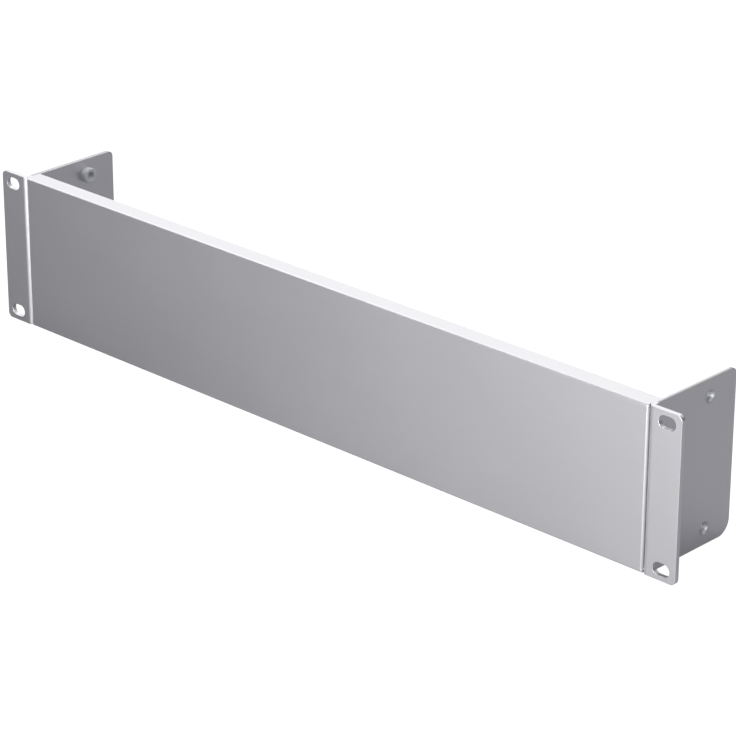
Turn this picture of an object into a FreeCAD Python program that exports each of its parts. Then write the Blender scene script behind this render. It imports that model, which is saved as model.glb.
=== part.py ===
import FreeCAD, Part
import Sketcher
import math
import os

# Rack blanking panel, 19 inch and two units high, from folded aluminium sheet.
#
# Frame: X across the rack, Y from the front to the back, Z up.  The origin is the middle of the
# bottom edges, on the surface that the panel stands on.
# A shallow front tray sits between two angle brackets.  Each bracket is an ear with two slots for
# the rack's screws and a side plate that runs back.  Flush blind rivets hold the tray's side
# flanges to the side plates, and two press nuts near the back of each plate take M5 screws.

DRIVING_SIZES = [
    # The whole panel
    ("panel_width", 482.6),
    ("panel_height", 88.1),
    ("panel_depth", 64.0),
    ("ear_reach", 17.8),

    # Front tray
    ("tray_sheet", 1.0),
    ("tray_bend_radius", 1.1),
    ("flange_depth", 10.0),
    ("seam_width", 0.4),
    ("relief_diameter", 1.6),

    # Angle brackets
    ("bracket_sheet", 2.5),
    ("bracket_inner_radius", 0.5),
    ("ear_corner_radius", 3.0),
    ("plate_top_radius", 3.0),
    ("plate_bottom_radius", 8.0),

    # Slots for the rack's screws, held from the ear's outer edge and from its ends
    ("slot_from_edge", 8.75),
    ("slot_from_end", 5.95),
    ("slot_length", 10.3),
    ("slot_width", 6.8),

    # Press nuts for M5 screws
    ("nut_from_end", 9.05),
    ("nut_from_back", 20.0),
    ("nut_body_diameter", 8.8),
    ("nut_body_length", 4.0),
    ("nut_shank_diameter", 7.4),
    ("nut_core_diameter", 4.3),
    ("nut_outer_mouth_depth", 1.1),
    ("nut_inner_mouth_depth", 0.5),
    ("nut_edge_chamfer", 0.4),
    ("nut_sunk", 0.1),
    ("nut_fit_clearance", 0.02),

    # Flush blind rivets
    ("rivet_from_end", 16.05),
    ("rivet_rim_gap", 0.5),
    ("rivet_diameter", 3.2),
    ("rivet_hole_clearance", 0.05),
    ("rivet_head_diameter", 6.0),
    ("rivet_head_angle", 120.0),
    ("rivet_bulb_diameter", 4.8),
    ("rivet_bulb_length", 3.2),
    ("rivet_bulb_rounding", 1.0),
    ("rivet_bore_diameter", 1.8),
    ("rivet_bore_depth", 1.2),
]

# Sizes that follow from the others, so that the pieces keep fitting each other.
DERIVED_SIZES = [
    ("front_y", "-panel_depth / 2"),
    ("half_span", "panel_width / 2 - ear_reach"),
    ("half_tray_width", "panel_width / 2 - ear_reach - bracket_sheet"),
    ("seam_top_high", "panel_height - tray_sheet"),
    ("seam_top_low", "panel_height - tray_sheet - seam_width"),
    ("seam_bottom_high", "tray_sheet + seam_width"),
    ("seam_end", "flange_depth + seam_width"),
    ("relief_radius", "relief_diameter / 2"),
    ("relief_y", "tray_bend_radius + relief_diameter / 2"),
    ("relief_top", "panel_height - tray_sheet - relief_diameter / 2"),
    ("relief_bottom", "tray_sheet + relief_diameter / 2"),
    ("bracket_bend_radius", "bracket_inner_radius + bracket_sheet"),
    ("slot_radius", "slot_width / 2"),
    ("slot_inner_x", "ear_reach - slot_from_edge - (slot_length - slot_width) / 2"),
    ("slot_outer_x", "ear_reach - slot_from_edge + (slot_length - slot_width) / 2"),
    ("slot_spacing", "panel_height - 2 * slot_from_end"),
    ("nut_spacing", "panel_height - 2 * nut_from_end"),
    ("nut_from_front", "panel_depth - nut_from_back"),
    ("nut_hole_radius", "nut_shank_diameter / 2 + nut_fit_clearance"),
    ("nut_shank_radius", "nut_shank_diameter / 2"),
    ("nut_body_radius", "nut_body_diameter / 2"),
    ("nut_face_radius", "nut_body_diameter / 2 - nut_edge_chamfer"),
    ("nut_core_radius", "nut_core_diameter / 2"),
    ("nut_outer_mouth_radius", "nut_core_diameter / 2 + nut_outer_mouth_depth"),
    ("nut_inner_mouth_radius", "nut_core_diameter / 2 + nut_inner_mouth_depth"),
    ("nut_end", "bracket_sheet + nut_body_length"),
    ("nut_end_chamfer", "bracket_sheet + nut_body_length - nut_edge_chamfer"),
    ("nut_inner_mouth", "bracket_sheet + nut_body_length - nut_inner_mouth_depth"),
    ("nut_outer_mouth", "nut_sunk + nut_outer_mouth_depth"),
    ("rivet_row_length", "panel_height - 2 * rivet_from_end"),
    ("rivet_from_front", "bracket_inner_radius + bracket_sheet + rivet_rim_gap + rivet_head_diameter / 2"),
    ("rivet_hole_diameter", "rivet_diameter + 2 * rivet_hole_clearance"),
    ("rivet_hole_radius", "rivet_diameter / 2 + rivet_hole_clearance"),
    ("rivet_radius", "rivet_diameter / 2"),
    ("rivet_head_radius", "rivet_head_diameter / 2"),
    ("rivet_head_depth", "(rivet_head_diameter - rivet_diameter) / 2 / tan(rivet_head_angle / 2)"),
    ("rivet_bulb_radius", "rivet_bulb_diameter / 2"),
    ("rivet_bore_radius", "rivet_bore_diameter / 2"),
    ("rivet_grip", "bracket_sheet + tray_sheet"),
    ("rivet_end", "bracket_sheet + tray_sheet + rivet_bulb_length"),
    ("rivet_tip_radius", "rivet_bulb_diameter / 2 - rivet_bulb_rounding"),
    ("rivet_shoulder", "bracket_sheet + tray_sheet + rivet_bulb_length - rivet_bulb_rounding"),
]

RIVETS_PER_SIDE = 3
SLOTS_PER_EAR = 2
NUTS_PER_PLATE = 2
ORIGIN = (-1, 1)
NEAR = 1e-4

os.makedirs("parts", exist_ok=True)
doc = FreeCAD.newDocument("rack_blanking_panel")


# Spreadsheet with the driving and the derived sizes
sheet = doc.addObject("Spreadsheet::Sheet", "Sizes")
row = 1
for alias, number in DRIVING_SIZES:
    sheet.set("A%d" % row, alias)
    sheet.set("B%d" % row, str(number))
    sheet.setAlias("B%d" % row, alias)
    row += 1
for alias, formula in DERIVED_SIZES:
    sheet.set("A%d" % row, alias)
    sheet.set("B%d" % row, "=" + formula)
    sheet.setAlias("B%d" % row, alias)
    row += 1
doc.recompute()


# Sizes as the features and sketches use them

def size(term):
    """Return the number behind an alias, behind a minus sign and an alias, or behind "0"."""
    if term == "0":
        return 0.0
    if term.startswith("-"):
        return -float(sheet.get(term[1:]))
    return float(sheet.get(term))


def bind(thing, prop, term):
    """Bind a property to an alias of the sheet."""
    sign = "-" if term.startswith("-") else ""
    thing.setExpression(prop, sign + "Sizes." + term.lstrip("-"))


# Sketching

def new_body(label):
    """Make an empty body, which may hold several separate solids."""
    body = doc.addObject("PartDesign::Body", label)
    body.Label = label
    body.AllowCompound = True
    return body


def origin_feature(body, role):
    """Find a plane or an axis of the body's own origin."""
    return [feature for feature in body.Origin.OriginFeatures if feature.Role == role][0]


def new_sketch(body, name, role, height="0"):
    """Attach a sketch to an origin plane of its body, or to a plane at a height above it."""
    sketch = body.newObject("Sketcher::SketchObject", name)
    sketch.AttachmentSupport = [(origin_feature(body, role), "")]
    sketch.MapMode = "FlatFace"
    if height != "0":
        sketch.AttachmentOffset = FreeCAD.Placement(FreeCAD.Vector(0, 0, size(height)), FreeCAD.Rotation())
        bind(sketch, "AttachmentOffset.Base.z", height)
    return sketch


def hold_point(sketch, point, place, datum=ORIGIN):
    """Hold a point of the sketch at the two terms of its place, measured from a datum point."""
    for term, kind, same in ((place[0], "DistanceX", "Vertical"), (place[1], "DistanceY", "Horizontal")):
        if term == "0":
            sketch.addConstraint(Sketcher.Constraint(same, *datum, *point))
        else:
            held = sketch.addConstraint(Sketcher.Constraint(kind, *datum, *point, size(term)))
            bind(sketch, "Constraints[%d]" % held, term)


def hold_radius(sketch, curve, term):
    """Give a circle or an arc its radius."""
    held = sketch.addConstraint(Sketcher.Constraint("Radius", curve, size(term)))
    bind(sketch, "Constraints[%d]" % held, term)


def draw_polygon(sketch, corners, datum=ORIGIN, datum_place=("0", "0")):
    """Draw a closed outline whose corners are pairs of terms, measured from a datum point."""
    base = FreeCAD.Vector(size(datum_place[0]), size(datum_place[1]), 0)
    spots = [base + FreeCAD.Vector(size(x), size(y), 0) for x, y in corners]
    lines = []
    for start, end in zip(spots, spots[1:] + spots[:1]):
        lines.append(sketch.addGeometry(Part.LineSegment(start, end), False))
    for line, after in zip(lines, lines[1:] + lines[:1]):
        sketch.addConstraint(Sketcher.Constraint("Coincident", line, 2, after, 1))
    for line, place in zip(lines, corners):
        hold_point(sketch, (line, 1), place, datum)


def draw_circle(sketch, place, radius):
    """Draw a circle round a place."""
    centre = FreeCAD.Vector(size(place[0]), size(place[1]), 0)
    circle = sketch.addGeometry(Part.Circle(centre, FreeCAD.Vector(0, 0, 1), size(radius)), False)
    hold_point(sketch, (circle, 3), place)
    hold_radius(sketch, circle, radius)


def draw_slot(sketch, left, right, height, radius):
    """Draw a level slot from two arcs and two lines that run into each other."""
    up = FreeCAD.Vector(0, 0, 1)
    reach = FreeCAD.Vector(0, size(radius), 0)
    left_centre = FreeCAD.Vector(size(left), size(height), 0)
    right_centre = FreeCAD.Vector(size(right), size(height), 0)
    quarter = math.pi / 2
    left_end = Part.ArcOfCircle(Part.Circle(left_centre, up, size(radius)), quarter, 3 * quarter)
    right_end = Part.ArcOfCircle(Part.Circle(right_centre, up, size(radius)), -quarter, quarter)
    left_arc = sketch.addGeometry(left_end, False)
    right_arc = sketch.addGeometry(right_end, False)
    under = sketch.addGeometry(Part.LineSegment(left_centre - reach, right_centre - reach), False)
    over = sketch.addGeometry(Part.LineSegment(right_centre + reach, left_centre + reach), False)
    for line, start, end in ((under, (left_arc, 2), (right_arc, 1)), (over, (right_arc, 2), (left_arc, 1))):
        sketch.addConstraint(Sketcher.Constraint("Tangent", line, 1, *start))
        sketch.addConstraint(Sketcher.Constraint("Tangent", line, 2, *end))
    hold_point(sketch, (left_arc, 3), (left, height))
    hold_point(sketch, (right_arc, 3), (right, height))
    hold_radius(sketch, left_arc, radius)


# Features

def pad(body, name, sketch, length, reverse=False):
    """Raise a sketch into a solid."""
    feature = body.newObject("PartDesign::Pad", name)
    feature.Profile = sketch
    feature.Reversed = reverse
    bind(feature, "Length", length)
    doc.recompute()
    return feature


def pocket(body, name, sketch, both_ways=False):
    """Cut a sketch right through the body and make sure that it cuts."""
    before = body.Shape.Volume
    feature = body.newObject("PartDesign::Pocket", name)
    feature.Profile = sketch
    feature.Type = "ThroughAll"
    feature.Midplane = both_ways
    doc.recompute()
    if body.Shape.Volume > before - NEAR:
        raise RuntimeError(name + " cuts nothing")
    return feature


def rows_upwards(body, name, length, count):
    """Make a row of copies that runs upwards, with the last copy at a distance from the first."""
    pattern = body.newObject("PartDesign::LinearPattern", name)
    pattern.Direction = (origin_feature(body, "Z_Axis"), [""])
    pattern.Occurrences = count
    bind(pattern, "Length", length)
    return pattern


def repeat(body, name, feature, length, count):
    """Repeat a feature upwards."""
    pattern = rows_upwards(body, name, length, count)
    pattern.Originals = [feature]
    body.Tip = pattern
    doc.recompute()


def repeat_on_both_sides(body, name, feature, length, count):
    """Repeat a feature upwards, and the whole row on the other side of the panel's middle plane."""
    row = rows_upwards(body, name + "_row", length, count)
    mirrored = body.newObject("PartDesign::Mirrored", name + "_mirror")
    mirrored.MirrorPlane = (origin_feature(body, "YZ_Plane"), [""])
    pattern = body.newObject("PartDesign::MultiTransform", name)
    pattern.Originals = [feature]
    pattern.Transformations = [row, mirrored]
    body.Tip = pattern
    doc.recompute()


def edges_along(feature, axis, places):
    """Name the straight edges along an axis that pass through the places in the plane across it."""
    others = [k for k in range(3) if k != axis]
    names = []
    for index, edge in enumerate(feature.Shape.Edges):
        ends = [vertex.Point for vertex in edge.Vertexes]
        if len(ends) != 2 or abs((ends[1] - ends[0])[axis]) < edge.Length - NEAR:
            continue
        spot = [ends[0][k] for k in others]
        if any(abs(spot[0] - u) < NEAR and abs(spot[1] - v) < NEAR for u, v in places):
            names.append("Edge%d" % (index + 1))
    return names


def fillet(body, name, base, edges, radius):
    """Round edges of the last feature."""
    feature = body.newObject("PartDesign::Fillet", name)
    feature.Base = (base, edges)
    bind(feature, "Radius", radius)
    doc.recompute()
    return feature


def place_body(body, x="0", z="0", turned=False):
    """Put a body with its front on the panel's front, half a turn over where it is turned."""
    angle = 180.0 if turned else 0.0
    rotation = FreeCAD.Rotation(FreeCAD.Vector(0, 1, 0), angle)
    body.Placement = FreeCAD.Placement(FreeCAD.Vector(size(x), size("front_y"), size(z)), rotation)
    bind(body, "Placement.Base.y", "front_y")
    if x != "0":
        bind(body, "Placement.Base.x", x)
    if z != "0":
        bind(body, "Placement.Base.z", z)


# Front tray: one sheet folded back on all four sides

def make_tray():
    body = new_body("front_tray")
    outline = new_sketch(body, "tray_outline", "XZ_Plane")
    corners = [("-half_tray_width", "0"), ("half_tray_width", "0")]
    corners += [("half_tray_width", "panel_height"), ("-half_tray_width", "panel_height")]
    draw_polygon(outline, corners)
    block = pad(body, "tray_block", outline, "flange_depth", reverse=True)

    front_edges = []
    for index, edge in enumerate(block.Shape.Edges):
        if all(abs(vertex.Point.y) < NEAR for vertex in edge.Vertexes):
            front_edges.append("Edge%d" % (index + 1))
    bends = fillet(body, "tray_bends", block, front_edges, "tray_bend_radius")

    # The block becomes sheet, open at the back
    open_face = [
        "Face%d" % (index + 1)
        for index, face in enumerate(bends.Shape.Faces)
        if abs(face.CenterOfMass.y - size("flange_depth")) < NEAR
    ]
    shell = body.newObject("PartDesign::Thickness", "tray_wall")
    shell.Base = (bends, open_face)
    shell.Reversed = True
    bind(shell, "Value", "tray_sheet")
    doc.recompute()

    # The side flanges stop short of the long flanges, and each seam ends in a relief hole
    seams = new_sketch(body, "seam_outline", "YZ_Plane")
    for low, high in (("seam_top_low", "seam_top_high"), ("tray_sheet", "seam_bottom_high")):
        slit = [("relief_y", low), ("seam_end", low), ("seam_end", high), ("relief_y", high)]
        draw_polygon(seams, slit)
    pocket(body, "corner_seams", seams, both_ways=True)
    reliefs = new_sketch(body, "relief_outline", "YZ_Plane")
    for height in ("relief_top", "relief_bottom"):
        draw_circle(reliefs, ("relief_y", height), "relief_radius")
    pocket(body, "corner_reliefs", reliefs, both_ways=True)

    holes = new_sketch(body, "tray_rivet_outline", "YZ_Plane")
    draw_circle(holes, ("rivet_from_front", "rivet_from_end"), "rivet_hole_radius")
    first = pocket(body, "tray_rivet_hole", holes, both_ways=True)
    repeat(body, "tray_rivet_holes", first, "rivet_row_length", RIVETS_PER_SIDE)
    place_body(body)
    return body


# Angle bracket: ear in front, side plate running back, drawn upside down for the left side

def make_bracket(label, side, height="0", turned=False):
    body = new_body(label)
    profile = new_sketch(body, label + "_profile", "XY_Plane")
    corners = [("ear_reach", "0"), ("ear_reach", "bracket_sheet"), ("0", "bracket_sheet")]
    corners += [("0", "panel_depth"), ("-bracket_sheet", "panel_depth"), ("-bracket_sheet", "0")]
    draw_polygon(profile, corners)
    angle = pad(body, label + "_angle", profile, "panel_height")

    sheet_back = size("bracket_sheet")
    low, high = 0.0, size("panel_height")
    inside = edges_along(angle, 2, [(0.0, sheet_back)])
    inner_bend = fillet(body, label + "_inner_bend", angle, inside, "bracket_inner_radius")
    outside = edges_along(inner_bend, 2, [(-sheet_back, 0.0)])
    outer_bend = fillet(body, label + "_outer_bend", inner_bend, outside, "bracket_bend_radius")
    ear_edges = edges_along(outer_bend, 1, [(size("ear_reach"), low), (size("ear_reach"), high)])
    ear = fillet(body, label + "_ear_corners", outer_bend, ear_edges, "ear_corner_radius")
    radii = ["plate_bottom_radius", "plate_top_radius"]
    if turned:
        radii.reverse()
    low_edge = edges_along(ear, 0, [(size("panel_depth"), low)])
    low_corner = fillet(body, label + "_low_corner", ear, low_edge, radii[0])
    high_edge = edges_along(low_corner, 0, [(size("panel_depth"), high)])
    fillet(body, label + "_high_corner", low_corner, high_edge, radii[1])

    slot = new_sketch(body, label + "_slot_outline", "XZ_Plane")
    draw_slot(slot, "slot_inner_x", "slot_outer_x", "slot_from_end", "slot_radius")
    first_slot = pocket(body, label + "_slot", slot)
    repeat(body, label + "_slots", first_slot, "slot_spacing", SLOTS_PER_EAR)

    nut = new_sketch(body, label + "_nut_outline", "YZ_Plane")
    draw_circle(nut, ("nut_from_front", "nut_from_end"), "nut_hole_radius")
    first_nut = pocket(body, label + "_nut_hole", nut)
    repeat(body, label + "_nut_holes", first_nut, "nut_spacing", NUTS_PER_PLATE)

    # Countersunk, so that nothing stands out into the rack's opening
    rivet = new_sketch(body, label + "_rivet_outline", "YZ_Plane")
    draw_circle(rivet, ("rivet_from_front", "rivet_from_end"), "rivet_hole_radius")
    doc.recompute()
    hole = body.newObject("PartDesign::Hole", label + "_rivet_hole")
    hole.Profile = rivet
    hole.ThreadType = "None"
    hole.DepthType = "ThroughAll"
    hole.HoleCutType = "Countersink"
    hole.HoleCutCustomValues = True
    bind(hole, "Diameter", "rivet_hole_diameter")
    bind(hole, "HoleCutDiameter", "rivet_head_diameter")
    bind(hole, "HoleCutCountersinkAngle", "rivet_head_angle")
    doc.recompute()
    repeat(body, label + "_rivet_holes", hole, "rivet_row_length", RIVETS_PER_SIDE)
    place_body(body, side, height, turned)
    return body


# Turned fasteners: each profile is drawn from the point where its axis leaves the side plate

def make_turned(label, from_front, low, end, corners, run, count):
    body = new_body(label)
    profile = new_sketch(body, label + "_profile", "XY_Plane", low)
    out = FreeCAD.Vector(size("half_span"), size(from_front), 0)
    inward = FreeCAD.Vector(size(end), 0, 0)
    axis = profile.addGeometry(Part.LineSegment(out, out + inward), True)
    hold_point(profile, (axis, 1), ("half_span", from_front))
    hold_point(profile, (axis, 2), (end, "0"), (axis, 1))
    draw_polygon(profile, corners, (axis, 1), ("half_span", from_front))
    turned = body.newObject("PartDesign::Revolution", label + "_turned")
    turned.Profile = profile
    turned.ReferenceAxis = (profile, ["Axis0"])
    turned.Angle = 360.0
    doc.recompute()
    repeat_on_both_sides(body, label + "_set", turned, run, count)
    place_body(body)
    return body


def make_press_nuts():
    corners = [
        ("-nut_sunk", "nut_outer_mouth_radius"),
        ("-nut_sunk", "nut_shank_radius"),
        ("-bracket_sheet", "nut_shank_radius"),
        ("-bracket_sheet", "nut_body_radius"),
        ("-nut_end_chamfer", "nut_body_radius"),
        ("-nut_end", "nut_face_radius"),
        ("-nut_end", "nut_inner_mouth_radius"),
        ("-nut_inner_mouth", "nut_core_radius"),
        ("-nut_outer_mouth", "nut_core_radius"),
    ]
    place = ("nut_from_front", "nut_from_end", "-nut_end")
    return make_turned("press_nuts", *place, corners, "nut_spacing", NUTS_PER_PLATE)


def make_blind_rivets():
    corners = [
        ("0", "rivet_bore_radius"),
        ("0", "rivet_head_radius"),
        ("-rivet_head_depth", "rivet_radius"),
        ("-rivet_grip", "rivet_radius"),
        ("-rivet_grip", "rivet_bulb_radius"),
        ("-rivet_shoulder", "rivet_bulb_radius"),
        ("-rivet_end", "rivet_tip_radius"),
        ("-rivet_end", "0"),
        ("-rivet_bore_depth", "0"),
        ("-rivet_bore_depth", "rivet_bore_radius"),
    ]
    place = ("rivet_from_front", "rivet_from_end", "-rivet_end")
    return make_turned("blind_rivets", *place, corners, "rivet_row_length", RIVETS_PER_SIDE)


nodes = [
    make_tray(),
    make_bracket("bracket_right", "half_span"),
    make_bracket("bracket_left", "-half_span", "panel_height", turned=True),
    make_press_nuts(),
    make_blind_rivets(),
]
doc.recompute()

# Every object has to be sound before a piece is written
for thing in doc.Objects:
    if "Invalid" in thing.State or "Error" in thing.State:
        raise RuntimeError("%s failed" % thing.Name)
for node in nodes:
    shape = node.Shape
    if shape.isNull() or not shape.isValid() or shape.Volume < NEAR:
        raise RuntimeError("%s has no sound shape" % node.Label)
    shape.exportStep("parts/%s.step" % node.Label)
    box = shape.BoundBox
    corner = "%.2f %.2f %.2f" % (box.XMin, box.YMin, box.ZMin)
    far = "%.2f %.2f %.2f" % (box.XMax, box.YMax, box.ZMax)
    print("%s: %d solids, %.0f mm3, %s to %s" % (node.Label, len(shape.Solids), shape.Volume, corner, far))
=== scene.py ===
import math

import bpy
from mathutils import Matrix, Vector


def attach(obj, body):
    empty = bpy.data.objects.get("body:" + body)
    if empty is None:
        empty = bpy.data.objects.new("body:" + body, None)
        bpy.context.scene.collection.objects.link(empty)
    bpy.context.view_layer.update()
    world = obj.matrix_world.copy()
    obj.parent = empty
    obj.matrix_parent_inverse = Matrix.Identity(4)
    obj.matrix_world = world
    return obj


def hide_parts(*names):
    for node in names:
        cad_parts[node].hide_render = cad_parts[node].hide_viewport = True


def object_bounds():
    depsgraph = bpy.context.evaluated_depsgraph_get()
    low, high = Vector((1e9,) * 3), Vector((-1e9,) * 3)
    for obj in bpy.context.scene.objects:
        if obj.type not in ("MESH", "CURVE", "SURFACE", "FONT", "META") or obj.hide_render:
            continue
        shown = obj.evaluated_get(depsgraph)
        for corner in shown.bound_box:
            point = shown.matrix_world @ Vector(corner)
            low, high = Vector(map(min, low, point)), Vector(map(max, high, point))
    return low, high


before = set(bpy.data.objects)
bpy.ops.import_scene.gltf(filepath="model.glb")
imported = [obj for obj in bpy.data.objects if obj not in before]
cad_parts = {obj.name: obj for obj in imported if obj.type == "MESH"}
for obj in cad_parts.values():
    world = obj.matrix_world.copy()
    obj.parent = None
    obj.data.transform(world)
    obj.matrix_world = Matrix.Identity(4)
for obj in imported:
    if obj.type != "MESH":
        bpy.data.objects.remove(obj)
cad_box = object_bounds()


# Front tray
# One aluminium sheet, 1 mm thick, with a 10 mm flange folded back on each of its four sides.
# It is etched and then clear anodised, which leaves a satin grey with faint rolling lines along it.

def place(tree, kind, wires=None, **settings):
    """Put a node in a tree; a wire is a value for an input, or the output that feeds it."""
    node = tree.nodes.new("ShaderNode" + kind)
    for name, setting in settings.items():
        setattr(node, name, setting)
    for name, source in (wires or {}).items():
        if isinstance(source, bpy.types.NodeSocket):
            tree.links.new(source, node.inputs[name])
        else:
            node.inputs[name].default_value = source
    return node


def calculate(tree, kind, first, second=0.0, **settings):
    """Put a maths node in a tree and return its result."""
    return place(tree, "Math", {0: first, 1: second}, operation=kind, **settings).outputs[0]


def add_share(tree, total, value, share, **settings):
    """Add a share of one value to another."""
    return calculate(tree, "ADD", total, calculate(tree, "MULTIPLY", value, share), **settings)


def calculate_vector(tree, kind, first, second=(0.0, 0.0, 0.0)):
    """Put a vector maths node in a tree and return its result, which for some kinds is a number."""
    outputs = place(tree, "VectorMath", {0: first, 1: second}, operation=kind).outputs
    return outputs["Value" if kind in ("DOT_PRODUCT", "LENGTH") else "Vector"]


def stretch(tree, vector, factor):
    """Multiply a place or a colour by one number."""
    return place(tree, "VectorMath", {0: vector, "Scale": factor}, operation="SCALE").outputs["Vector"]


def noise(tree, where, scale, detail):
    """Put a cloudy texture in a tree and return its value."""
    return place(tree, "TexNoise", {"Vector": where, "Scale": scale, "Detail": detail}).outputs[0]


def new_group(name, inputs, outputs):
    """Start a shader node group with named inputs and outputs."""
    tree = bpy.data.node_groups.new(name, "ShaderNodeTree")
    for label, kind in inputs:
        tree.interface.new_socket(label, in_out="INPUT", socket_type="NodeSocket" + kind)
    for label, kind in outputs:
        tree.interface.new_socket(label, in_out="OUTPUT", socket_type="NodeSocket" + kind)
    return tree, tree.nodes.new("NodeGroupInput").outputs, tree.nodes.new("NodeGroupOutput").inputs


# Rolling lines, the fine pits of the etching bath, and slow clouds from the anodising
sheet_grain, given, result = new_group(
    "sheet grain",
    [("Place", "Vector"), ("Rolling", "Vector"), ("Roughness", "Float")],
    [("Tone", "Float"), ("Roughness", "Float"), ("Height", "Float")],
)
roughness_spread = 0.1
millimetres = stretch(sheet_grain, given["Place"], 1000.0)
along = calculate_vector(sheet_grain, "MULTIPLY", millimetres, given["Rolling"])
lines = noise(sheet_grain, along, scale=1.0, detail=3.0)
pits = noise(sheet_grain, millimetres, scale=2.6, detail=2.0)
clouds = noise(sheet_grain, millimetres, scale=0.013, detail=2.0)
tone = calculate(sheet_grain, "MULTIPLY", lines, 0.45)
tone = add_share(sheet_grain, tone, clouds, 0.35)
tone = add_share(sheet_grain, tone, pits, 0.2, use_clamp=True)
off_middle = calculate(sheet_grain, "SUBTRACT", tone, 0.5)
spread = calculate(sheet_grain, "MULTIPLY", off_middle, roughness_spread)
height = calculate(sheet_grain, "MULTIPLY", lines, 0.4)
height = add_share(sheet_grain, height, pits, 0.6)
sheet_grain.links.new(tone, result["Tone"])
sheet_grain.links.new(calculate(sheet_grain, "ADD", given["Roughness"], spread), result["Roughness"])
sheet_grain.links.new(height, result["Height"])


def remap(tree, value, begin, end, low=0.0, high=1.0, **settings):
    """Turn a value that runs from begin to end into one that runs from low to high."""
    wires = {0: value, 1: begin, 2: end, 3: low, 4: high}
    return place(tree, "MapRange", wires, **settings).outputs[0]


# Edges that deburring has broken and handling has brightened, told by the cosine of how far the
# broken edge turns away from the face: bright from 26 degrees on, and fully so at 44 degrees
worn_edge, given, result = new_group("worn edge", [("Broken", "Vector")], [("Wear", "Float")])
true_normal = place(worn_edge, "NewGeometry").outputs["True Normal"]
turn = calculate_vector(worn_edge, "DOT_PRODUCT", given["Broken"], true_normal)
worn_edge.links.new(remap(worn_edge, turn, begin=0.90, end=0.72), result["Wear"])

# The cut edges of the sheet, told by how far they lie from a point in front of the panel, with
# about five marks of the shear in each millimetre
cut_edge, given, result = new_group(
    "cut edge",
    [("Place", "Vector"), ("Middle", "Vector"), ("Reach", "Vector")],
    [("Cut", "Float"), ("Height", "Float")],
)
from_middle = calculate_vector(cut_edge, "SUBTRACT", given["Place"], given["Middle"])
from_middle = calculate_vector(cut_edge, "ABSOLUTE", from_middle)
beyond = calculate_vector(cut_edge, "SUBTRACT", from_middle, given["Reach"])
beyond = place(cut_edge, "SeparateXYZ", {0: beyond}).outputs
furthest = calculate(cut_edge, "MAXIMUM", beyond["X"], beyond["Y"])
furthest = calculate(cut_edge, "MAXIMUM", furthest, beyond["Z"])
cut = calculate(cut_edge, "GREATER_THAN", furthest, 0.0)
shear = noise(cut_edge, stretch(cut_edge, given["Place"], 5000.0), scale=1.0, detail=1.0)
cut_edge.links.new(cut, result["Cut"])
cut_edge.links.new(calculate(cut_edge, "MULTIPLY", shear, cut), result["Height"])

# The outer corner of a side plate's edge, which the punch has rolled over. It starts behind the
# bend between the ear and the plate.
front_face, half_width = cad_box[0][1], cad_box[1][0]
ear_reach, bracket_sheet, bend_reach = 0.0178, 0.0025, 0.0050
plate_outer = half_width - ear_reach
plate_inner = plate_outer - bracket_sheet
rolled_corner, given, result = new_group(
    "rolled corner",
    [("Place", "Vector"), ("Normal", "Vector"), ("Inner", "Float"), ("Outer", "Float")],
    [("Normal", "Vector")],
)
spot = place(rolled_corner, "SeparateXYZ", {0: given["Place"]}).outputs
sideways = calculate(rolled_corner, "ABSOLUTE", spot["X"])
way_out = calculate(rolled_corner, "SIGN", spot["X"])
roll = remap(rolled_corner, sideways, given["Inner"], given["Outer"])
behind_ear = calculate(rolled_corner, "GREATER_THAN", spot["Y"], front_face + bend_reach)
roll = calculate(rolled_corner, "MULTIPLY", roll, behind_ear)
roll = calculate(rolled_corner, "MULTIPLY", roll, way_out)
lean = place(rolled_corner, "CombineXYZ", {"X": roll}).outputs[0]
lean = calculate_vector(rolled_corner, "ADD", given["Normal"], lean)
rolled_corner.links.new(calculate_vector(rolled_corner, "NORMALIZE", lean), result["Normal"])


def new_metal(name):
    """Start a metal finish and return it with its tree and the place on the piece."""
    finish = bpy.data.materials.new(name)
    finish.use_nodes = True
    tree = finish.node_tree
    tree.nodes["Principled BSDF"].inputs["Metallic"].default_value = 1.0
    return finish, tree, place(tree, "TexCoord").outputs["Object"]


def place_group(tree, group, wires):
    """Put a node group in a tree and return its outputs."""
    return place(tree, "Group", wires, node_tree=group).outputs


def tinted(shade, gain):
    """Make a shade lighter or darker, as a colour that a socket takes."""
    return [min(gain * level, 1.0) for level in shade] + [1.0]


def blend(tree, share, first, second):
    """Mix two colours, by the share of the second one."""
    return place(tree, "Mix", {0: share, 6: first, 7: second}, data_type="RGBA").outputs[2]


def feed_metal(tree, colour, roughness, relief):
    """Give a metal's shader its colour and its roughness, and a Bump node with its relief."""
    shader = tree.nodes["Principled BSDF"]
    tree.links.new(colour, shader.inputs["Base Color"])
    tree.links.new(roughness, shader.inputs["Roughness"])
    tree.links.new(place(tree, "Bump", relief).outputs[0], shader.inputs["Normal"])


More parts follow.
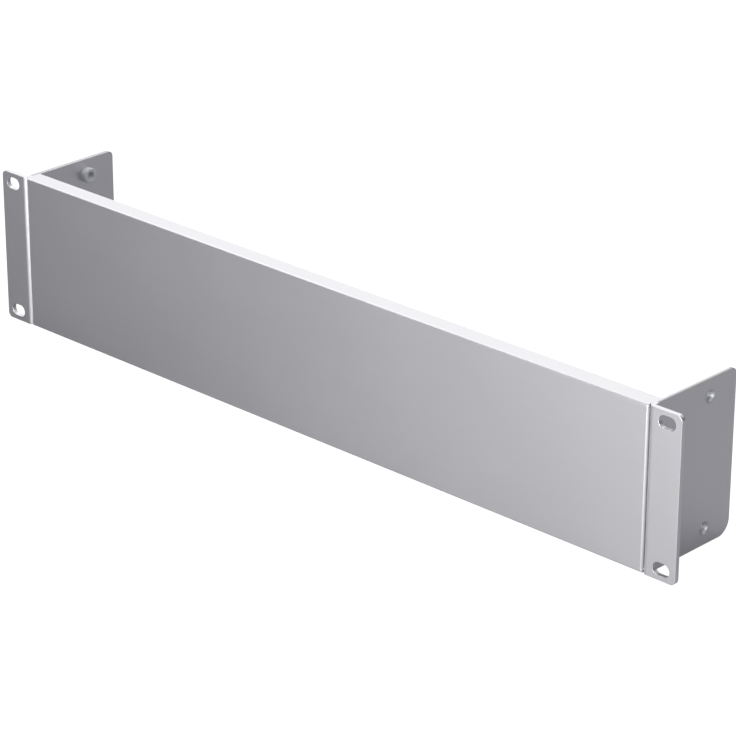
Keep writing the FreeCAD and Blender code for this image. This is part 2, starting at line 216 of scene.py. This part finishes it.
def anodised_sheet(name, shade, rolling, broken_edge, middle, reach):
    """Make the satin, clear anodised finish of a sheet with its rolling lines one way."""
    finish, tree, where = new_metal(name)
    grain = place_group(tree, sheet_grain, {"Place": where, "Rolling": rolling, "Roughness": 0.40})
    edge = place_group(tree, cut_edge, {"Place": where, "Middle": middle, "Reach": reach})
    broken = place(tree, "Bevel", {"Radius": broken_edge}, samples=8).outputs[0]
    worn = place_group(tree, worn_edge, {"Broken": broken})
    colour = blend(tree, grain["Tone"], tinted(shade, 0.97), tinted(shade, 1.03))
    colour = blend(tree, edge["Cut"], colour, tinted(shade, 1.04))
    colour = blend(tree, worn["Wear"], colour, tinted(shade, 1.16))
    height = calculate(tree, "ADD", grain["Height"], edge["Height"])
    plate = {"Place": where, "Normal": broken, "Inner": plate_inner, "Outer": plate_outer}
    normal = place_group(tree, rolled_corner, plate)["Normal"]
    relief = {"Height": height, "Normal": normal, "Strength": 0.12, "Distance": 0.0001}
    feed_metal(tree, colour, grain["Roughness"], relief)
    return finish


def dress(node, finish):
    """Give a node of the frame its finish."""
    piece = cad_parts[node]
    if not piece.material_slots:
        piece.data.materials.append(finish)
    for slot in piece.material_slots:
        slot.material = finish


# A cut edge is told a tenth of a millimetre before it is reached, and the tray's are those of its
# flanges, which lie only towards the back
panel_height = cad_box[1][2]
middle_height = panel_height / 2
flange_depth, skin = 0.0100, 0.0001
before_panel, past_all = -0.1, 1.0
edge_middle = (0.0, before_panel, middle_height)
anodised_grey = (0.70, 0.697, 0.72)
tray_finish = anodised_sheet(
    "tray anodised",
    shade=anodised_grey,
    rolling=(0.02, 1.3, 1.3),
    broken_edge=0.0002,
    middle=edge_middle,
    reach=(past_all, front_face + flange_depth - before_panel - skin, past_all),
)
dress("front_tray", tray_finish)


# Angle brackets
# A mirrored pair of folded parts, 2.5 mm sheet: an ear with two slots and a side plate.
# The sheet is cut with its rolling lines upright and gets the same finish as the tray.

back_edge = cad_box[1][1]
bracket_finish = anodised_sheet(
    "bracket anodised",
    shade=anodised_grey,
    rolling=(1.3, 1.3, 0.02),
    broken_edge=0.0004,
    middle=edge_middle,
    reach=(half_width - skin, back_edge - before_panel - skin, middle_height - skin / 2),
)
dress("bracket_right", bracket_finish)
dress("bracket_left", bracket_finish)


# Press nuts
# Four round M5 nuts of bright zinc plated steel, turned from bar and tapped. Each is pressed into
# its side plate from inside, with its wide lead-in just below the plate's outer face.

nut_from_end, nut_from_back = 0.00905, 0.0200
nut_start, nut_end = 0.0001, 0.0065
nut_body, nut_shank, nut_core = 0.0044, 0.0037, 0.00215
lead_in_radius, end_mouth_radius = 0.00325, 0.00265
thread_root, thread_pitch = 0.0025, 0.0008
crest_flat, root_flat = 1 / 4, 1 / 8
nut_steps, bore_rows = 64, 96


def thread_depth(turn):
    """Return how deep the thread is cut at a part of its pitch, from 0 at its crest to 1 at its root."""
    crest = 0.5 - crest_flat / 2
    flank = crest - root_flat / 2
    return min(max((crest - abs(turn - 0.5)) / flank, 0.0), 1.0)


def lathe(mesh, rings, steps):
    """Join rings of points round the X axis into a closed turned surface."""
    points = []
    for ring in rings:
        for step in range(steps):
            angle = 2.0 * math.pi * step / steps
            depth, radius = ring(step / steps)
            points.append((-depth, radius * math.cos(angle), radius * math.sin(angle)))
    faces = []
    for row in range(len(rings)):
        after = (row + 1) % len(rings)
        for step in range(steps):
            beside = (step + 1) % steps
            faces.append((
                row * steps + step,
                after * steps + step,
                after * steps + beside,
                row * steps + beside,
            ))
    mesh.from_pydata(points, [], faces)
    mesh.update()
    mesh.shade_smooth()
    mesh.set_sharp_from_angle(angle=math.radians(32.0))


def plain_ring(depth, radius):
    """Make a ring that has the same depth and radius all the way round."""
    return lambda turn: (depth, radius)


def bore_ring(depth):
    """Make a ring of the tapped bore, which opens into a cone at both of its ends."""
    outer_cone = lead_in_radius - (depth - nut_start)
    inner_cone = end_mouth_radius - (nut_end - depth)

    def ring(turn):
        cut = thread_depth((depth / thread_pitch - turn) % 1.0)
        thread = nut_core + (thread_root - nut_core) * cut
        return depth, max(outer_cone, inner_cone, thread)

    return ring


# From the rim of the lead-in along the shank to the shoulder on the sheet, the barrel and its end:
# depths below the plate's outer face, and radii
nut_profile = [
    (nut_start, 0.00327), (nut_start, 0.00366), (0.00014, nut_shank), (0.0024, nut_shank),
    (bracket_sheet, 0.00385), (bracket_sheet, 0.00432), (0.00257, nut_body), (0.0060, nut_body),
    (0.0061, 0.00438), (0.00645, 0.00404), (nut_end, 0.00397), (nut_end, 0.00345), (nut_end, 0.00268),
]
bore_length = nut_end - nut_start
rings = [plain_ring(depth, radius) for depth, radius in nut_profile]
rings += [bore_ring(nut_end - bore_length * row / bore_rows) for row in range(bore_rows + 1)]
nut_mesh = bpy.data.meshes.new("press nut")
lathe(nut_mesh, rings, nut_steps)

# The tool's rings on a turned face, seen as fine circles round the piece's own X axis
turned_rings, given, result = new_group(
    "turned rings",
    [("Place", "Vector"), ("Closeness", "Float")],
    [("Tone", "Float"), ("Height", "Float")],
)
flat_place = calculate_vector(turned_rings, "MULTIPLY", given["Place"], (0.0, 1.0, 1.0))
from_axis = calculate_vector(turned_rings, "LENGTH", flat_place)
along_axis = place(turned_rings, "SeparateXYZ", {0: given["Place"]}).outputs["X"]
tool_path = add_share(turned_rings, from_axis, along_axis, 0.7)
tool_path = calculate(turned_rings, "MULTIPLY", tool_path, given["Closeness"])
cuts = {"W": tool_path, "Scale": 1.0, "Detail": 3.0}
marks = place(turned_rings, "TexNoise", cuts, noise_dimensions="1D").outputs[0]
turned_rings.links.new(marks, result["Tone"])
turned_rings.links.new(marks, result["Height"])


def turned_metal(name, shade, roughness, closeness, painted_highlight_gain=1.0, rougher=0.0):
    """Make the finish of a small fastener, whose colour can be lightened behind the side plate as a
    painted highlight, and whose roughness can be raised there.
    """
    finish, tree, where = new_metal(name)
    marks = place_group(tree, turned_rings, {"Place": where, "Closeness": closeness})
    even = {"Place": where, "Rolling": (1.0, 1.0, 1.0), "Roughness": roughness}
    grain = place_group(tree, sheet_grain, even)
    tone = calculate(tree, "MULTIPLY", marks["Tone"], grain["Tone"])
    tone = calculate(tree, "MULTIPLY", tone, 2.0, use_clamp=True)
    colour = blend(tree, tone, tinted(shade, 0.86), tinted(shade, 1.08))
    inwards = place(tree, "SeparateXYZ", {0: where}).outputs["X"]
    behind_plate = calculate(tree, "LESS_THAN", inwards, -bracket_sheet - 0.00001)
    # Behind the plate the colour is lightened by a painted highlight
    colour = stretch(tree, colour, remap(tree, behind_plate, 0.0, 1.0, low=1.0, high=painted_highlight_gain))
    matte = add_share(tree, grain["Roughness"], behind_plate, rougher)
    relief = {"Height": marks["Height"], "Strength": 0.2, "Distance": 0.00005}
    feed_metal(tree, colour, matte, relief)
    return finish


def seat(name, mesh, way, depth, height):
    """Seat a fastener square in a side plate; way is 1 for the right plate and -1 for the left one."""
    piece = bpy.data.objects.new(name, mesh)
    bpy.context.scene.collection.objects.link(piece)
    piece.location = (way * plate_outer, depth, height)
    piece.rotation_euler.z = 0.0 if way > 0 else math.pi
    return piece


# The tap and the punch have burnished the lead-in, and the barrel has the matte of the plating bath. The
# barrel's colour is also lightened, as a painted highlight.
nut_finish = turned_metal("bright zinc", (0.62, 0.63, 0.65), 0.50, 9000.0, painted_highlight_gain=1.45, rougher=0.35)
nut_mesh.materials.append(nut_finish)
sides = (("right", 1), ("left", -1))
nut_levels = (("low", nut_from_end), ("high", panel_height - nut_from_end))
for side, way in sides:
    for level, height in nut_levels:
        nut = seat("press_nut_%s_%s" % (side, level), nut_mesh, way, back_edge - nut_from_back, height)
        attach(nut, "root")
        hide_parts("press_nuts")


# Blind rivets
# Three on each side, plain aluminium, with countersunk heads flush in the side plate. Inside the
# tray's flange each has a bulb, and in its head is the end of the pin where it broke off.

rivet_from_end, rivet_from_front = 0.01605, 0.0065
rivet_body, pin = 0.0016, 0.0009
rivet_steps = 40

# From the rim of the pin's hole over the head and along the body to the tip of the pin's own head:
# depths below the plate's outer face, and radii
rivet_profile = [
    (0.0, pin), (0.0, 0.00195), (0.0, 0.00297), (0.00003, 0.003),
    (0.00081, rivet_body), (0.0034, rivet_body), (0.0035, 0.0019), (0.00356, 0.00225), (0.0038, 0.00238),
    (0.0044, 0.0024), (0.0050, 0.00233), (0.0055, 0.00212), (0.0058, 0.0018), (0.0059, 0.0014),
    (0.0059, 0.00125), (0.0062, 0.00122), (0.0065, 0.00095), (0.00665, 0.0005), (0.0067, 0.00002),
]

# From the middle of the pin's broken end to its rim and back up the hole: depths, radii, and how
# rough each ring is
broken_end = [
    (0.00118, 0.00002, 0.00010), (0.00116, 0.00025, 0.00010), (0.00108, 0.00045, 0.00008),
    (0.00100, 0.00066, 0.00006), (0.00112, 0.00080, 0.00003), (0.0012, pin, 0.0),
    (0.0006, pin, 0.0), (0.0002, pin, 0.0),
]


def broken_ring(depth, radius, roughness, seed):
    """Make a ring of the pin's broken end, which goes up and down as it runs round."""
    waves = [(count, math.sin(7.3 * seed + 2.1 * count), 5.7 * seed * count) for count in (2, 3, 5, 7)]

    def ring(turn):
        jagged = sum(size * math.sin(2.0 * math.pi * count * turn + start) for count, size, start in waves)
        return depth + 0.5 * roughness * jagged, radius

    return ring


rings = [plain_ring(depth, radius) for depth, radius in rivet_profile]
rings += [broken_ring(*level, seed + 1) for seed, level in enumerate(broken_end)]
rivet_mesh = bpy.data.meshes.new("blind rivet")
lathe(rivet_mesh, rings, rivet_steps)
rivet_mesh.materials.append(turned_metal("plain rivet aluminium", (0.72, 0.72, 0.73), 0.36, 7000.0))
rivet_levels = (
    ("low", rivet_from_end),
    ("middle", middle_height),
    ("high", panel_height - rivet_from_end),
)
for side, way in sides:
    for level, height in rivet_levels:
        name = "blind_rivet_%s_%s" % (side, level)
        rivet = seat(name, rivet_mesh, way, front_face + rivet_from_front, height)
        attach(rivet, "root")
        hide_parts("blind_rivets")


# Floor
# A wide sheet of white paper, so bright in the picture that no shadow of the panel shows on it.
# What the metal reflects of it is painted: a grey, darker in front of the panel as painted shade,
# and there a painted pool of light that grows white to the right.

floor_size = 24.0
painted_grey_behind, painted_shade_before = (0.445, 0.44, 0.465, 1.0), (0.235, 0.232, 0.247, 1.0)
before_ends, behind_begins = -0.04, 0.0
white_way, white_begins, white_ends = (0.724, -0.80, 0.0), -0.138, 0.85
lamplit_share = 0.15
floor_finish = bpy.data.materials.new("floor paper")
floor_finish.use_nodes = True
tree = floor_finish.node_tree
tree.nodes.clear()

# The white is a glow of strength 1, with a small share of it lit by the lamps as well
glow = place(tree, "Emission", {"Color": (1.0, 1.0, 1.0, 1.0), "Strength": 1.0}).outputs[0]
lit = place(tree, "BsdfDiffuse", {"Color": (0.9, 0.9, 0.9, 1.0)}).outputs[0]
lit = place(tree, "AddShader", {0: glow, 1: lit}).outputs[0]
white = place(tree, "MixShader", {0: lamplit_share, 1: glow, 2: lit}).outputs[0]

# The grey lights the panel from below, and is darker in front of it than behind it, as painted shade
spot = place(tree, "TexCoord").outputs["Object"]
depth = place(tree, "SeparateXYZ", {0: spot}).outputs["Y"]
in_front = remap(tree, depth, before_ends, behind_begins, 1.0, 0.0, interpolation_type="SMOOTHSTEP")
painted_shade_grey = blend(tree, in_front, painted_grey_behind, painted_shade_before)
grey = place(tree, "BsdfDiffuse", {"Color": painted_shade_grey}).outputs[0]

# How white the paper is: wholly in the picture, and in what the metal reflects, by its place, as a painted
# pool of light
across = calculate_vector(tree, "DOT_PRODUCT", spot, white_way)
# A painted pool of light, which only reflections see
painted_light_pool = remap(tree, across, white_begins, white_ends)
rays = place(tree, "LightPath").outputs
reflected = calculate(tree, "MAXIMUM", rays["Is Glossy Ray"], rays["Is Transmission Ray"])
whiteness = calculate(tree, "MULTIPLY", painted_light_pool, in_front)
whiteness = calculate(tree, "MULTIPLY", reflected, whiteness)
whiteness = calculate(tree, "MAXIMUM", whiteness, rays["Is Camera Ray"])
paper = place(tree, "MixShader", {0: whiteness, 1: grey, 2: white}).outputs[0]
place(tree, "OutputMaterial", {"Surface": paper})
bpy.ops.mesh.primitive_plane_add(size=floor_size, location=(0.0, 0.0, 0.0))
floor = bpy.context.object
floor.name = "floor"
floor.data.materials.append(floor_finish)


# Studio light
# Two soft boxes hang high on the left, one behind the panel and one in front of it. Two low strips
# stand in front, the weaker one on the right, and an even light comes from all round.

def soft_box(name, spot, aim, width, height, power):
    """Hang a soft box at a spot, turned to what it lights."""
    lamp = bpy.data.lights.new(name, "AREA")
    lamp.shape = "RECTANGLE"
    lamp.size = width
    lamp.size_y = height
    lamp.energy = power
    box = bpy.data.objects.new(name, lamp)
    bpy.context.scene.collection.objects.link(box)
    box.location = spot
    box.rotation_euler = (Vector(spot) - Vector(aim)).to_track_quat("Z", "Y").to_euler()


high_aim, low_aim = (0.0, 0.0, 0.05), (0.0, 0.0, 0.03)
soft_box("soft box behind", (-1.1, 1.15, 1.1), high_aim, width=2.0, height=2.0, power=12.6)
soft_box("soft box overhead", (-1.3, -0.5, 1.3), high_aim, width=1.0, height=1.0, power=4.0)
soft_box("low strip in front", (0.4, -1.5, 0.16), low_aim, width=1.6, height=0.28, power=25.0)
soft_box("low strip on the right", (1.1, -1.15, 0.16), low_aim, width=1.6, height=0.28, power=5.0)

# The even light grows towards the ceiling
surroundings = bpy.data.worlds.new("surroundings")
bpy.context.scene.world = surroundings
surroundings.use_nodes = True
tree = surroundings.node_tree
upwards = place(tree, "SeparateXYZ", {0: place(tree, "TexCoord").outputs["Generated"]}).outputs["Z"]
room = remap(tree, upwards, begin=0.35, end=0.8, low=0.12, high=0.92)
tree.links.new(room, tree.nodes["Background"].inputs["Strength"])
tree.nodes["Background"].inputs["Color"].default_value = (1.0, 1.0, 1.0, 1.0)


# Camera
# A long lens 1.6 m away, 23 degrees above the panel and nearly 44 degrees round to its right end.
# It is tilted by a hair, and aimed so that the panel fills the width of the picture.

look_round = math.radians(43.63)
look_down = math.radians(23.42)
tilt = math.radians(0.145)
distance = 1.602
aim = Vector((0.04075, -0.032, 0.05237))
back = Vector((
    math.sin(look_round) * math.cos(look_down),
    -math.cos(look_round) * math.cos(look_down),
    math.sin(look_down),
))
level = Vector((math.cos(look_round), math.sin(look_round), 0.0))
upright = back.cross(level)
right = level * math.cos(tilt) + upright * math.sin(tilt)
up = back.cross(right)
turned = Matrix((right, up, back)).transposed().to_4x4()
lens = bpy.data.cameras.new("long lens")
lens.sensor_width = 36.0
lens.lens = 154.9
lens.clip_end = 100.0
camera = bpy.data.objects.new("camera", lens)
bpy.context.scene.collection.objects.link(camera)
camera.matrix_world = Matrix.Translation(aim + back * distance) @ turned
bpy.context.scene.camera = camera
bpy.context.scene.view_settings.view_transform = "Standard"


bpy.context.view_layer.update()
